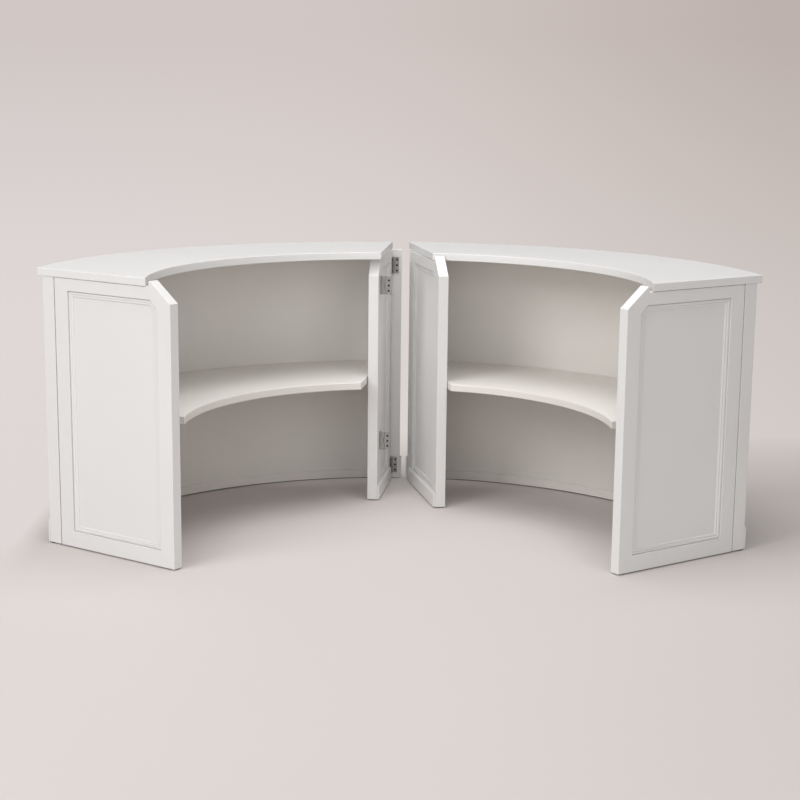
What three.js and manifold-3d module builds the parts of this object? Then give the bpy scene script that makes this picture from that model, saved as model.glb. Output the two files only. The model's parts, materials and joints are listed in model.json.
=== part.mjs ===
// Folding portable bar: a pair of curved sections that stand end to end as one arc. Each has a panelled
// front wall between two posts, a counter top and a shelf that lift out, and a hinged wing at either end.
// Millimetres, +Z up, the bartender on the -Y side.
import * as THREE from 'three';
import { mergeVertices } from 'three/addons/utils/BufferGeometryUtils.js';
import Module from 'manifold-3d';

const wasm = await Module();
wasm.setup();

// Counter top
const COUNTER_HEIGHT = 1067;
const COUNTER_THICKNESS = 30;
const COUNTER_OUTER_RADIUS = 1379;
const COUNTER_DEPTH = 470;
const COUNTER_OVERHANG = 22;
const COUNTER_END_OVERHANG = 3;
const COUNTER_CENTRE_GAP = 72;
const LEFT_COUNTER_ANGLE = 5.2;
const RIGHT_COUNTER_ANGLE = 11.6;
const LOCATING_RAIL_DEPTH = 22;
const LOCATING_RAIL_HEIGHT = 20;
const LOCATING_RAIL_CLEARANCE = 2;
const LOCATING_RAIL_END_ANGLE = 12;

// Front wall, with the skirting, the raised frame and the rails fixed to it
const WALL_THICKNESS = 24;
const FLOOR_CLEARANCE = 5;
const FOOT_INSET = 4;
const SKIRTING_THICKNESS = 7;
const SKIRTING_HEIGHT = 92;
const FRONT_FRAME_THICKNESS = 7;
const FRONT_TOP_RAIL_HEIGHT = 78;
const FRONT_STILE_WIDTH = 66;
const FRONT_FRAME_END_ANGLE = 79.4;
const FRONT_PANEL_COUNT = 3;
const BASE_RAIL_THICKNESS = 9;
const BASE_RAIL_HEIGHT = 38;
const TOP_RAIL_DEPTH = 34;
const TOP_RAIL_HEIGHT = 36;

// Posts at the ends of the wall
const OUTER_END_ANGLE = 80.8;
const OUTER_END_SPLAY = 34;
const OUTER_POST_WIDTH = 58.5;
const CENTRE_POST_INSET = 14;
const LEFT_POST_END = -5;
const LEFT_POST_WIDTH = 92;
const LEFT_POST_STRIP = 41;
const RIGHT_POST_END = 40;
const RIGHT_POST_WIDTH = 84;
const RIGHT_POST_STRIP = 2;

// Shelf and what carries it
const SHELF_HEIGHT = 540;
const SHELF_THICKNESS = 30;
const SHELF_FRONT_RADIUS = 790;
const SHELF_WALL_CLEARANCE = 2;
const SHELF_WING_CLEARANCE = 4;
const SHELF_FOLD_CLEARANCE = 12;
const CLEAT_DEPTH = 25;
const CLEAT_HEIGHT = 40;
const SHELF_ARM_COUNT = 3;
const SHELF_ARM_LENGTH = 290;
const SHELF_ARM_HEIGHT = 22;
const SHELF_ARM_WIDTH = 24;

// Wings: framed panels with one corner of the top cut off
const OUTER_WING_WIDTH = 575;
const OUTER_WING_FOLD = 12;
const OUTER_WING_SEAM = 4.5;
const OUTER_WING_NOTCH = 475;
const OUTER_WING_CHAMFER_RUN = 94;
const CENTRE_WING_SETBACK = 6;
const LEFT_CENTRE_WING_WIDTH = 396;
const LEFT_CENTRE_WING_ANGLE = 7.7;
const LEFT_CENTRE_WING_CHAMFER_RUN = 58;
const LEFT_CENTRE_WING_CHAMFER_RISE = 69;
const RIGHT_CENTRE_WING_WIDTH = 512;
const RIGHT_CENTRE_WING_ANGLE = 12.9;
const RIGHT_CENTRE_WING_NOTCH = 439;
const RIGHT_CENTRE_WING_CHAMFER_RUN = 76;
const WING_THICKNESS = 42;
const WING_TOP_CLEARANCE = 1.5;
const WING_HEAD_RISE = 20;
const WING_CHAMFER_RISE = 76;
const WING_STILE_WIDTH = 66;
const WING_TOP_RAIL_HEIGHT = 46;
const WING_BOTTOM_RAIL_HEIGHT = 62;
const WING_PANEL_CLIP = 30;
const WING_RECESS_DEPTH = 11;
const WING_PANEL_THICKNESS = 12;
const WING_MOULDING_WIDTH = 22;
const WING_MOULDING_HEIGHT = 7;
const PLINTH_HEIGHT = 60;
const PLINTH_THICKNESS = 7.5;
const PLINTH_HINGE_DISTANCE = 28;
const PLINTH_EDGE_DISTANCE = 6;
const GLIDE_RADIUS = 10;
const GLIDE_END_DISTANCE = 40;

// Hinges and the swinging links
const HINGE_LEAF_WIDTH = 20;
const HINGE_LEAF_THICKNESS = 2;
const KNUCKLE_RADIUS = 4.5;
const KNUCKLE_GAP = 0.4;
const PIN_RADIUS = 2.2;
const PIN_CLEARANCE = 0.3;
const PIN_HEAD_RADIUS = 3.8;
const PIN_HEAD_HEIGHT = 2;
const PIN_RIVET = 0.6;
const OUTER_HINGE_FOOT_DISTANCE = 25;
const OUTER_HINGE_RAIL_DISTANCE = 15;
const OUTER_HINGE_KNUCKLES = 5;
const CENTRE_HINGE_FOOT_DISTANCE = 61;
const CENTRE_HINGE_TOP_DISTANCE = 68;
const CENTRE_HINGE_LENGTH = 72;
const CENTRE_HINGE_KNUCKLES = 3;
const LINK_FOOT_DISTANCE = 247;
const LINK_TOP_DISTANCE = 116;
const LINK_LENGTH = 76;
const LINK_KNUCKLES = 3;
const LINK_EDGE_DISTANCE = 60;
const LINK_BASE_WIDTH = 34;
const LINK_FLANGE_WIDTH = 15;
const LINK_LEAF_WIDTH = 22;

// Fit between neighbouring pieces, and the faceting of round shapes
const FIT_GAP = 0.3;
const FACET_ANGLE = 2.5;
const ROUND_SIDES = 12;

const radians = THREE.MathUtils.degToRad;
const FACET = radians(FACET_ANGLE);
const QUARTER_TURN = Math.PI / 2;
const HALF_TURN = Math.PI;

// Heights and radii that follow from the driving sizes
const counterUnderside = COUNTER_HEIGHT - COUNTER_THICKNESS;
const carcassTop = counterUnderside - FIT_GAP;
const shelfUnderside = SHELF_HEIGHT - SHELF_THICKNESS;
const wallOuter = COUNTER_OUTER_RADIUS - COUNTER_OVERHANG;
const wallInner = wallOuter - WALL_THICKNESS;
const wallFace = wallOuter + FIT_GAP;
const linedRadius = wallInner - FIT_GAP;
const skirtingTop = FLOOR_CLEARANCE + SKIRTING_HEIGHT;
const wingTop = counterUnderside - WING_TOP_CLEARANCE;
const topRailBottom = carcassTop - TOP_RAIL_HEIGHT;
const hingeStandOff = KNUCKLE_RADIUS + FIT_GAP;
const outerHingeBottom = FLOOR_CLEARANCE + OUTER_HINGE_FOOT_DISTANCE;
const outerHingeLength = topRailBottom - OUTER_HINGE_RAIL_DISTANCE - outerHingeBottom;
const outerHingeHeight = outerHingeBottom + outerHingeLength / 2;
const centreHingeHeights = {
  lower: FLOOR_CLEARANCE + CENTRE_HINGE_FOOT_DISTANCE,
  upper: counterUnderside - CENTRE_HINGE_TOP_DISTANCE,
};
const linkHeights = {
  lower: FLOOR_CLEARANCE + LINK_FOOT_DISTANCE,
  upper: counterUnderside - LINK_TOP_DISTANCE,
};
const reach = 4 * COUNTER_OUTER_RADIUS;

// A solid from a closed geometry, and a plain geometry from a solid
function solid(geometry) {
  const bare = geometry.clone();
  bare.deleteAttribute('normal');
  bare.deleteAttribute('uv');
  const welded = mergeVertices(bare);
  return new wasm.Manifold(new wasm.Mesh({
    numProp: 3,
    vertProperties: new Float32Array(welded.attributes.position.array),
    triVerts: new Uint32Array(welded.index.array),
  }));
}

function surface(body) {
  const mesh = body.getMesh();
  const geometry = new THREE.BufferGeometry();
  geometry.setAttribute('position', new THREE.BufferAttribute(new Float32Array(mesh.vertProperties), 3));
  geometry.setIndex(new THREE.BufferAttribute(new Uint32Array(mesh.triVerts), 1));
  return geometry;
}

// Points of the faceted circle: every facet of every radius turns at the same angles, from +Y towards +X
function ringPoint(radius, angle) {
  const middle = (Math.floor(angle / FACET) + 0.5) * FACET;
  const faceted = radius * Math.cos(FACET / 2) / Math.cos(angle - middle);
  return [faceted * Math.sin(angle), faceted * Math.cos(angle)];
}

function arc(radius, from, to) {
  const points = [ringPoint(radius, from)];
  for (let step = Math.floor(from / FACET) + 1; step * FACET < to; step += 1) {
    points.push(ringPoint(radius, step * FACET));
  }
  points.push(ringPoint(radius, to));
  return points;
}

function outlined(points) {
  return points.map(([x, y]) => new THREE.Vector2(x, y));
}

// A plan outline raised between two heights
function raised(points, bottom, top) {
  const shape = new THREE.Shape(outlined(points));
  const geometry = new THREE.ExtrudeGeometry(shape, { depth: top - bottom, bevelEnabled: false });
  return solid(geometry.translate(0, 0, bottom));
}

function ring(inner, outer, from, to, bottom, top) {
  return raised([...arc(outer, from, to), ...arc(inner, from, to).reverse()], bottom, top);
}

function block(low, high, turn = 0) {
  const size = high.map((value, axis) => value - low[axis]);
  const middle = high.map((value, axis) => (value + low[axis]) / 2);
  return solid(new THREE.BoxGeometry(...size).translate(...middle).rotateZ(turn));
}

function rod(radius, bottom, top, x = 0, y = 0) {
  const geometry = new THREE.CylinderGeometry(radius, radius, top - bottom, ROUND_SIDES);
  return solid(geometry.rotateX(QUARTER_TURN).translate(x, y, (bottom + top) / 2));
}

// Takes away all that lies beyond a plan line, on the side that the heading points to
function cutBeyond(body, [x, y], heading) {
  const waste = new THREE.BoxGeometry(reach, reach, reach).translate(reach / 2, 0, 0);
  return body.subtract(solid(waste.rotateZ(heading).translate(x, y, 0)));
}

function along([x, y], heading, distance) {
  return [x + distance * Math.cos(heading), y + distance * Math.sin(heading)];
}

// Plan of the right-hand section: the outer end's plane, its post and the wing's hinge line
const splay = radians(OUTER_END_SPLAY);
const outerRun = HALF_TURN + splay;
const outerNormal = splay - QUARTER_TURN;
const outerCorner = ringPoint(wallOuter, radians(OUTER_END_ANGLE));
const outerSeam = along(outerCorner, outerRun, OUTER_POST_WIDTH);
const outerPostBack = along(outerSeam, outerNormal, -WING_THICKNESS);
const outerHingeLine = along(
  along(outerSeam, outerRun, OUTER_WING_SEAM / 2), outerNormal, -WING_THICKNESS - hingeStandOff);
const foldedNormal = outerNormal - radians(OUTER_WING_FOLD);

// Plan of the centre ends, each measured from the middle of the bar towards its own side. The left post
// runs on past its wing as a cover strip, which carries the hinges. The right wing stands at its post's end
// and has its hinges on the inner side.
const postFace = wallInner - CENTRE_POST_INSET;
const centreHingeDepth = postFace - hingeStandOff;
const leftWingFace = LEFT_POST_END + LEFT_POST_STRIP;
const rightWingBack = RIGHT_POST_END + RIGHT_POST_STRIP + WING_THICKNESS;
const leftCentre = {
  postEnd: LEFT_POST_END,
  postBack: LEFT_POST_END + LEFT_POST_WIDTH,
  hingeLine: [leftWingFace - hingeStandOff, centreHingeDepth],
  wingBack: hingeStandOff + WING_THICKNESS,
  wingWidth: LEFT_CENTRE_WING_WIDTH,
  wingAngle: radians(LEFT_CENTRE_WING_ANGLE),
  corner: { run: LEFT_CENTRE_WING_CHAMFER_RUN, rise: LEFT_CENTRE_WING_CHAMFER_RISE },
  counterAngle: radians(LEFT_COUNTER_ANGLE),
  hingeInside: false,
};
const rightCentre = {
  postEnd: RIGHT_POST_END,
  postBack: RIGHT_POST_END + RIGHT_POST_WIDTH,
  hingeLine: [rightWingBack + hingeStandOff, centreHingeDepth],
  wingBack: -hingeStandOff,
  wingWidth: RIGHT_CENTRE_WING_WIDTH,
  wingAngle: radians(RIGHT_CENTRE_WING_ANGLE),
  corner: { run: RIGHT_CENTRE_WING_CHAMFER_RUN, rise: WING_CHAMFER_RISE, notch: RIGHT_CENTRE_WING_NOTCH },
  counterAngle: radians(RIGHT_COUNTER_ANGLE),
  hingeInside: true,
};
const openArc = [radians(-OUTER_END_ANGLE), radians(2 * OUTER_END_ANGLE)];

// Trims a curved piece to the space between the two posts
function betweenPosts(body, centre) {
  const outerTrim = along(outerPostBack, outerNormal, -FIT_GAP);
  return cutBeyond(cutBeyond(body, outerTrim, outerNormal), [centre.postBack + FIT_GAP, 0], HALF_TURN);
}

function frontWall(centre) {
  return betweenPosts(ring(wallInner, wallOuter, ...openArc, FLOOR_CLEARANCE, carcassTop), centre);
}

// Both posts are finished flush with the wall's outer face
function outerPost() {
  const buried = along(outerSeam, outerRun, -reach);
  const buriedBack = along(outerPostBack, outerRun, -reach);
  const slab = raised([outerSeam, buried, buriedBack, outerPostBack], FLOOR_CLEARANCE, carcassTop);
  return slab.subtract(ring(wallOuter, 2 * reach, ...openArc, 0, COUNTER_HEIGHT));
}

function centrePost(centre) {
  const slab = block([centre.postEnd, postFace, FLOOR_CLEARANCE], [centre.postBack, reach, carcassTop]);
  return slab.subtract(ring(wallOuter, 2 * reach, ...openArc, 0, COUNTER_HEIGHT));
}

// The skirting runs along the front and turns round the centre post's end
function frontSkirting(centre) {
  const outer = wallFace + SKIRTING_THICKNESS;
  const turnBack = centre.postEnd - FIT_GAP;
  const turnFace = turnBack - SKIRTING_THICKNESS;
  const run = ring(wallFace, outer, ...openArc, FLOOR_CLEARANCE, skirtingTop);
  const trimmed = cutBeyond(cutBeyond(run, outerCorner, outerNormal), [turnFace, 0], HALF_TURN);
  const turn = block([turnFace, postFace, FLOOR_CLEARANCE], [turnBack, reach, skirtingTop]);
  return trimmed.add(turn.subtract(ring(outer, 2 * reach, ...openArc, 0, COUNTER_HEIGHT)));
}

// The raised frame on the front: a top rail and stiles, with the skirting below as its bottom rail. It
// stops short of the wall's outer end.
function frontFrame(centre) {
  const outer = wallFace + FRONT_FRAME_THICKNESS;
  const start = Math.asin(centre.postEnd / wallOuter);
  const end = radians(FRONT_FRAME_END_ANGLE);
  const stile = FRONT_STILE_WIDTH / wallOuter;
  const pitch = (end - start - stile) / FRONT_PANEL_COUNT;
  const railBottom = carcassTop - FRONT_TOP_RAIL_HEIGHT;
  let frame = ring(wallFace, outer, ...openArc, skirtingTop + FIT_GAP, carcassTop);
  frame = cutBeyond(frame, ringPoint(wallOuter, end), outerNormal);
  frame = cutBeyond(frame, [centre.postEnd, 0], HALF_TURN);
  for (let panel = 0; panel < FRONT_PANEL_COUNT; panel += 1) {
    const from = start + stile + panel * pitch;
    frame = frame.subtract(ring(wallInner, 2 * outer, from, from + pitch - stile, 0, railBottom));
  }
  return frame;
}

function baseRail(centre) {
  const top = FLOOR_CLEARANCE + BASE_RAIL_HEIGHT;
  const inner = linedRadius - BASE_RAIL_THICKNESS;
  return betweenPosts(ring(inner, linedRadius, ...openArc, FLOOR_CLEARANCE, top), centre);
}

const topRailFace = linedRadius - TOP_RAIL_DEPTH;

function topRail(centre) {
  return betweenPosts(ring(topRailFace, linedRadius, ...openArc, topRailBottom, carcassTop), centre);
}

// A strip under the wall and posts keeps the wood off the floor
function footStrip(centre) {
  const strip = ring(
    wallInner + FOOT_INSET, wallOuter - FOOT_INSET, ...openArc, 0, FLOOR_CLEARANCE - FIT_GAP);
  const outerTrim = along(outerCorner, outerNormal, -FOOT_INSET);
  return cutBeyond(cutBeyond(strip, outerTrim, outerNormal), [centre.postEnd + FOOT_INSET, 0], HALF_TURN);
}

function counterTop(centre) {
  const inner = COUNTER_OUTER_RADIUS - COUNTER_DEPTH;
  const slab = ring(inner, COUNTER_OUTER_RADIUS, ...openArc, counterUnderside, COUNTER_HEIGHT);
  const outerTrim = along(outerCorner, outerNormal, COUNTER_END_OVERHANG);
  const centreTrim = [COUNTER_CENTRE_GAP / 2, COUNTER_OUTER_RADIUS];
  return cutBeyond(cutBeyond(slab, outerTrim, outerNormal), centreTrim, HALF_TURN + centre.counterAngle);
}

// The rail under the counter top drops in behind the top rail
function locatingRail() {
  const outer = topRailFace - LOCATING_RAIL_CLEARANCE;
  const from = radians(LOCATING_RAIL_END_ANGLE);
  const to = radians(OUTER_END_ANGLE - LOCATING_RAIL_END_ANGLE);
  return ring(outer - LOCATING_RAIL_DEPTH, outer, from, to, carcassTop - LOCATING_RAIL_HEIGHT, carcassTop);
}

// The bearer is a curved cleat on the wall, with arms halved into it under the shelf
function shelfBearer(centre) {
  const top = shelfUnderside - FIT_GAP;
  const cleatFace = linedRadius - CLEAT_DEPTH;
  let bearer = betweenPosts(ring(cleatFace, linedRadius, ...openArc, top - CLEAT_HEIGHT, top), centre);
  const low = [-SHELF_ARM_WIDTH / 2, cleatFace - SHELF_ARM_LENGTH, top - SHELF_ARM_HEIGHT];
  const high = [SHELF_ARM_WIDTH / 2, linedRadius - CLEAT_DEPTH / 2, top];
  for (let arm = 1; arm <= SHELF_ARM_COUNT; arm += 1) {
    const angle = radians(OUTER_END_ANGLE * arm / (SHELF_ARM_COUNT + 1));
    bearer = bearer.add(block(low, high, -angle));
  }
  return bearer;
}

// The shelf stops short of the outer wing, so that the wing can fold in as far as the shelf's end
function shelf(centre) {
  const slab = ring(
    SHELF_FRONT_RADIUS, wallInner - SHELF_WALL_CLEARANCE, ...openArc, shelfUnderside, SHELF_HEIGHT);
  const outerTrim = along(outerHingeLine, foldedNormal, hingeStandOff - SHELF_FOLD_CLEARANCE);
  const centreTrim = along(centre.hingeLine, centre.wingAngle, centre.wingBack + SHELF_WING_CLEARANCE);
  const folding = cutBeyond(slab, outerTrim, foldedNormal);
  const beside = cutBeyond(folding, centreTrim, HALF_TURN + centre.wingAngle);
  const inward = cutBeyond(beside, [centre.postBack + SHELF_WALL_CLEARANCE, 0], HALF_TURN);
  return cutBeyond(inward, along(outerPostBack, outerNormal, -SHELF_FOLD_CLEARANCE), outerNormal);
}

// A hinge's knuckles share its length: the post's leaf has the odd ones and the wing's leaf those between
const POST_LEAF = 0;
const WING_LEAF = 1;

function knuckleRuns(length, count, leaf) {
  const runs = [];
  for (let knuckle = leaf; knuckle < count; knuckle += 2) {
    const low = knuckle * length / count - length / 2;
    const gap = leaf === WING_LEAF ? KNUCKLE_GAP : 0;
    runs.push([low + gap, low + length / count - gap]);
  }
  return runs;
}

// One leaf about the Z axis, not yet bored: its plate runs along +X and backs onto a surface on the
// given side
function leafBlank(leaf, side, length, count, width) {
  const back = side * KNUCKLE_RADIUS;
  const front = side * (KNUCKLE_RADIUS - HINGE_LEAF_THICKNESS);
  const [low, high] = [Math.min(back, front), Math.max(back, front)];
  const plateStart = KNUCKLE_RADIUS + KNUCKLE_GAP;
  const plateEnd = KNUCKLE_RADIUS + width;
  let body = block([plateStart, low, -length / 2], [plateEnd, high, length / 2]);
  for (const [bottom, top] of knuckleRuns(length, count, leaf)) {
    body = body.add(rod(KNUCKLE_RADIUS, bottom, top));
    body = body.add(block([0, low, bottom], [(plateStart + plateEnd) / 2, high, top]));
  }
  return body;
}

function boredLeaf(leaf, side, length, count, width) {
  const bore = rod(PIN_RADIUS + PIN_CLEARANCE, -length, length);
  return leafBlank(leaf, side, length, count, width).subtract(bore);
}

// The pin is riveted into the blank's own knuckles
function pinned(blank, length) {
  return blank.add(rod(PIN_RADIUS, -length / 2 - PIN_RIVET, length / 2 + PIN_RIVET));
}

function loosePin(length) {
  const headBottom = length / 2 + KNUCKLE_GAP;
  const head = rod(PIN_HEAD_RADIUS, headBottom, headBottom + PIN_HEAD_HEIGHT);
  return rod(PIN_RADIUS, -length / 2, headBottom + PIN_HEAD_HEIGHT / 2).add(head);
}

// A wing in its own frame: the hinge axis at the origin, +X along the wing, and its body on the +Y side.
// showFar tells whether the panelled face is the one away from the hinge. A wing that is notched for the
// counter's edge stands up in front of it, and its top free corner is cut off.
function wingPieces(width, start, showFar, { run, rise, notch }) {
  const end = start + width;
  const near = hingeStandOff;
  const far = hingeStandOff + WING_THICKNESS;
  const left = start + WING_STILE_WIDTH;
  const right = end - WING_STILE_WIDTH;
  const sill = FLOOR_CLEARANCE + WING_BOTTOM_RAIL_HEIGHT;
  const head = wingTop - WING_TOP_RAIL_HEIGHT;
  const mitre = Math.SQRT2 - 1;

  function slab(outline, hole, [from, to]) {
    const shape = new THREE.Shape(outlined(outline));
    if (hole) shape.holes.push(new THREE.Path(outlined(hole)));
    const geometry = new THREE.ExtrudeGeometry(shape, { depth: to - from, bevelEnabled: false });
    return solid(geometry.rotateX(QUARTER_TURN).translate(0, to, 0));
  }

  function fromFace(depth, thickness) {
    return showFar ? [far - depth - thickness, far - depth] : [near + depth, near + depth + thickness];
  }

  function opening(inset) {
    return [
      [left + inset, sill + inset],
      [right - inset, sill + inset],
      [right - inset, head - WING_PANEL_CLIP - inset * mitre],
      [right - WING_PANEL_CLIP - inset * mitre, head - inset],
      [left + inset, head - inset],
    ];
  }

  const crown = notch ? counterUnderside + WING_HEAD_RISE : wingTop;
  const outline = [
    [start, FLOOR_CLEARANCE],
    [end, FLOOR_CLEARANCE],
    [end, crown - rise],
    [end - run, crown],
  ];
  if (notch) outline.push([notch, crown], [notch, wingTop]);
  outline.push([start, wingTop]);
  const mouldingDepth = WING_RECESS_DEPTH - FIT_GAP - WING_MOULDING_HEIGHT;
  const mouldingFaces = fromFace(mouldingDepth, WING_MOULDING_HEIGHT);
  const panelFaces = fromFace(WING_RECESS_DEPTH, WING_PANEL_THICKNESS);
  const footTop = FLOOR_CLEARANCE - FIT_GAP;
  const plinthOutline = [
    [start + PLINTH_HINGE_DISTANCE, FLOOR_CLEARANCE],
    [end - PLINTH_EDGE_DISTANCE, FLOOR_CLEARANCE],
    [end - PLINTH_EDGE_DISTANCE, FLOOR_CLEARANCE + PLINTH_HEIGHT],
    [start + PLINTH_HINGE_DISTANCE, FLOOR_CLEARANCE + PLINTH_HEIGHT],
  ];
  const plinthFaces = fromFace(-FIT_GAP - PLINTH_THICKNESS, PLINTH_THICKNESS);
  return {
    frame: slab(outline, opening(0), [near, far]),
    panel: slab(opening(FIT_GAP), null, panelFaces),
    moulding: slab(opening(FIT_GAP), opening(WING_MOULDING_WIDTH), mouldingFaces),
    glide: rod(GLIDE_RADIUS, 0, footTop, end - GLIDE_END_DISTANCE, (near + far) / 2),
    plinth: slab(plinthOutline, null, plinthFaces),
  };
}

// The links stand on the centre wing's outer face, by its free edge, and tie the sections together
const linkStation = CENTRE_WING_SETBACK + LEFT_CENTRE_WING_WIDTH - LINK_EDGE_DISTANCE;
const linkAxis = [linkStation, -LINK_FLANGE_WIDTH];

function linkBracket() {
  const half = LINK_LENGTH / 2;
  const face = LINK_FLANGE_WIDTH + KNUCKLE_RADIUS;
  const inner = KNUCKLE_RADIUS - HINGE_LEAF_THICKNESS;
  const baseLow = [KNUCKLE_RADIUS - LINK_BASE_WIDTH, face - HINGE_LEAF_THICKNESS, -half];
  let bracket = block(baseLow, [KNUCKLE_RADIUS, face, half]);
  bracket = bracket.add(block([inner, KNUCKLE_RADIUS + KNUCKLE_GAP, -half], [KNUCKLE_RADIUS, face, half]));
  for (const [bottom, top] of knuckleRuns(LINK_LENGTH, LINK_KNUCKLES, POST_LEAF)) {
    bracket = bracket.add(rod(KNUCKLE_RADIUS, bottom, top));
    bracket = bracket.add(block([inner, 0, bottom], [KNUCKLE_RADIUS, face, top]));
  }
  return pinned(bracket, LINK_LENGTH);
}

// Finishes
const paint = { color: 0xf1efec, roughness: 0.45, metalness: 0 };
const steel = { color: 0x8d8a84, roughness: 0.35, metalness: 1 };
const nylon = { color: 0x3a3836, roughness: 0.6, metalness: 0 };

// The left-hand section is made like the right-hand one and reflected in the plane between them
function reflected(geometry) {
  const flipped = geometry.clone().applyMatrix4(new THREE.Matrix4().makeScale(-1, 1, 1));
  const index = flipped.index.array;
  for (let corner = 0; corner < index.length; corner += 3) {
    [index[corner + 1], index[corner + 2]] = [index[corner + 2], index[corner + 1]];
  }
  return flipped;
}

function piece(name, body, finish, hand) {
  const geometry = hand < 0 ? reflected(surface(body)) : surface(body);
  geometry.computeVertexNormals();
  const mesh = new THREE.Mesh(geometry, new THREE.MeshStandardMaterial(finish));
  mesh.name = name;
  return mesh;
}

function stood(object, hand, [x, y], height, heading) {
  object.position.set(hand * x, y, height);
  object.rotation.z = hand * heading;
  return object;
}

function wing(name, hand, pieces) {
  const group = new THREE.Group();
  group.add(piece(`${name}_frame`, pieces.frame, paint, hand));
  group.add(piece(`${name}_panel`, pieces.panel, paint, hand));
  group.add(piece(`${name}_moulding`, pieces.moulding, paint, hand));
  group.add(piece(`${name}_glide`, pieces.glide, nylon, hand));
  return group;
}

// The outer wing hangs on a continuous hinge with a loose pin, on the inner side of the seam
function outerWing(side, hand) {
  const sizes = [outerHingeLength, OUTER_HINGE_KNUCKLES, HINGE_LEAF_WIDTH];
  const postLeaf = piece(`${side}_outer_hinge_post_leaf`, boredLeaf(POST_LEAF, -1, ...sizes), steel, hand);
  const wingLeaf = piece(`${side}_outer_hinge_wing_leaf`, boredLeaf(WING_LEAF, 1, ...sizes), steel, hand);
  const pin = piece(`${side}_outer_hinge_pin`, loosePin(outerHingeLength), steel, hand);
  const corner = { run: OUTER_WING_CHAMFER_RUN, rise: WING_CHAMFER_RISE, notch: OUTER_WING_NOTCH };
  const pieces = wingPieces(OUTER_WING_WIDTH, OUTER_WING_SEAM / 2, true, corner);
  const group = wing(`${side}_outer_wing`, hand, pieces);
  const axis = [0, 0];
  group.add(stood(postLeaf, hand, axis, outerHingeHeight, HALF_TURN));
  group.add(stood(wingLeaf, hand, axis, outerHingeHeight, 0));
  group.add(stood(pin, hand, axis, outerHingeHeight, 0));
  return stood(group, hand, outerHingeLine, 0, outerRun);
}

// The centre wing has a plinth board along its foot and hangs on two butt hinges. With the hinges on the
// inner side it is the other hand's wing turned half round.
function centreWing(side, hand, centre) {
  const turned = centre.hingeInside ? HALF_TURN : 0;
  const wingHand = centre.hingeInside ? -hand : hand;
  const pieces = wingPieces(centre.wingWidth, CENTRE_WING_SETBACK, centre.hingeInside, centre.corner);
  const group = wing(`${side}_centre_wing`, wingHand, pieces);
  group.add(piece(`${side}_centre_wing_plinth`, pieces.plinth, paint, wingHand));
  const sizes = [CENTRE_HINGE_LENGTH, CENTRE_HINGE_KNUCKLES, HINGE_LEAF_WIDTH];
  for (const [level, height] of Object.entries(centreHingeHeights)) {
    const wingLeaf = boredLeaf(WING_LEAF, 1, ...sizes);
    const name = `${side}_centre_${level}_hinge_wing_leaf`;
    group.add(stood(piece(name, wingLeaf, steel, wingHand), wingHand, [0, 0], height, 0));
  }
  return stood(group, hand, centre.hingeLine, 0, centre.wingAngle - QUARTER_TURN + turned);
}

// Each centre hinge has its pin fixed in the post's leaf, which lies on the post's face
function centrePostLeaf(side, hand, level, centre) {
  const sizes = [CENTRE_HINGE_LENGTH, CENTRE_HINGE_KNUCKLES, HINGE_LEAF_WIDTH];
  const backSide = centre.hingeInside ? 1 : -1;
  const leaf = pinned(leafBlank(POST_LEAF, backSide, ...sizes), CENTRE_HINGE_LENGTH);
  const mesh = piece(`${side}_centre_${level}_hinge_post_leaf`, leaf, steel, hand);
  const heading = centre.hingeInside ? 0 : HALF_TURN;
  return stood(mesh, hand, centre.hingeLine, centreHingeHeights[level], heading);
}

function section(side, hand, centre) {
  const group = new THREE.Group();
  group.add(piece(`${side}_front_wall`, frontWall(centre), paint, hand));
  group.add(piece(`${side}_front_skirting`, frontSkirting(centre), paint, hand));
  group.add(piece(`${side}_front_frame`, frontFrame(centre), paint, hand));
  group.add(piece(`${side}_base_rail`, baseRail(centre), paint, hand));
  group.add(piece(`${side}_top_rail`, topRail(centre), paint, hand));
  group.add(piece(`${side}_outer_post`, outerPost(), paint, hand));
  group.add(piece(`${side}_centre_post`, centrePost(centre), paint, hand));
  group.add(piece(`${side}_foot_strip`, footStrip(centre), nylon, hand));
  group.add(piece(`${side}_shelf_bearer`, shelfBearer(centre), paint, hand));
  group.add(piece(`${side}_shelf`, shelf(centre), paint, hand));
  group.add(piece(`${side}_counter_top`, counterTop(centre), paint, hand));
  group.add(piece(`${side}_counter_locating_rail`, locatingRail(), paint, hand));
  group.add(centrePostLeaf(side, hand, 'lower', centre));
  group.add(centrePostLeaf(side, hand, 'upper', centre));
  group.add(outerWing(side, hand));
  group.add(centreWing(side, hand, centre));
  return group;
}

// The links ride on the left-hand section's centre wing
function links(hand, centre) {
  const group = new THREE.Group();
  for (const [level, height] of Object.entries(linkHeights)) {
    const leaf = boredLeaf(WING_LEAF, 1, LINK_LENGTH, LINK_KNUCKLES, LINK_LEAF_WIDTH);
    const bracketMesh = piece(`${level}_link_bracket`, linkBracket(), steel, hand);
    const leafMesh = piece(`${level}_link_leaf`, leaf, steel, hand);
    group.add(stood(bracketMesh, hand, linkAxis, height, 0));
    group.add(stood(leafMesh, hand, linkAxis, height, -QUARTER_TURN));
  }
  return stood(group, hand, centre.hingeLine, 0, centre.wingAngle - QUARTER_TURN);
}

const bar = new THREE.Group();
bar.add(section('left', -1, leftCentre));
bar.add(section('right', 1, rightCentre));
bar.add(links(-1, leftCentre));

// The origin is on the floor, in the middle of the ground that the bar covers
const extent = new THREE.Box3().setFromObject(bar, true);
const middle = extent.getCenter(new THREE.Vector3());
bar.position.set(-middle.x, -middle.y, 0);

export default bar;
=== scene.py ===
import json
import math

import bmesh
import bpy
from mathutils import Matrix, Vector


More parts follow.
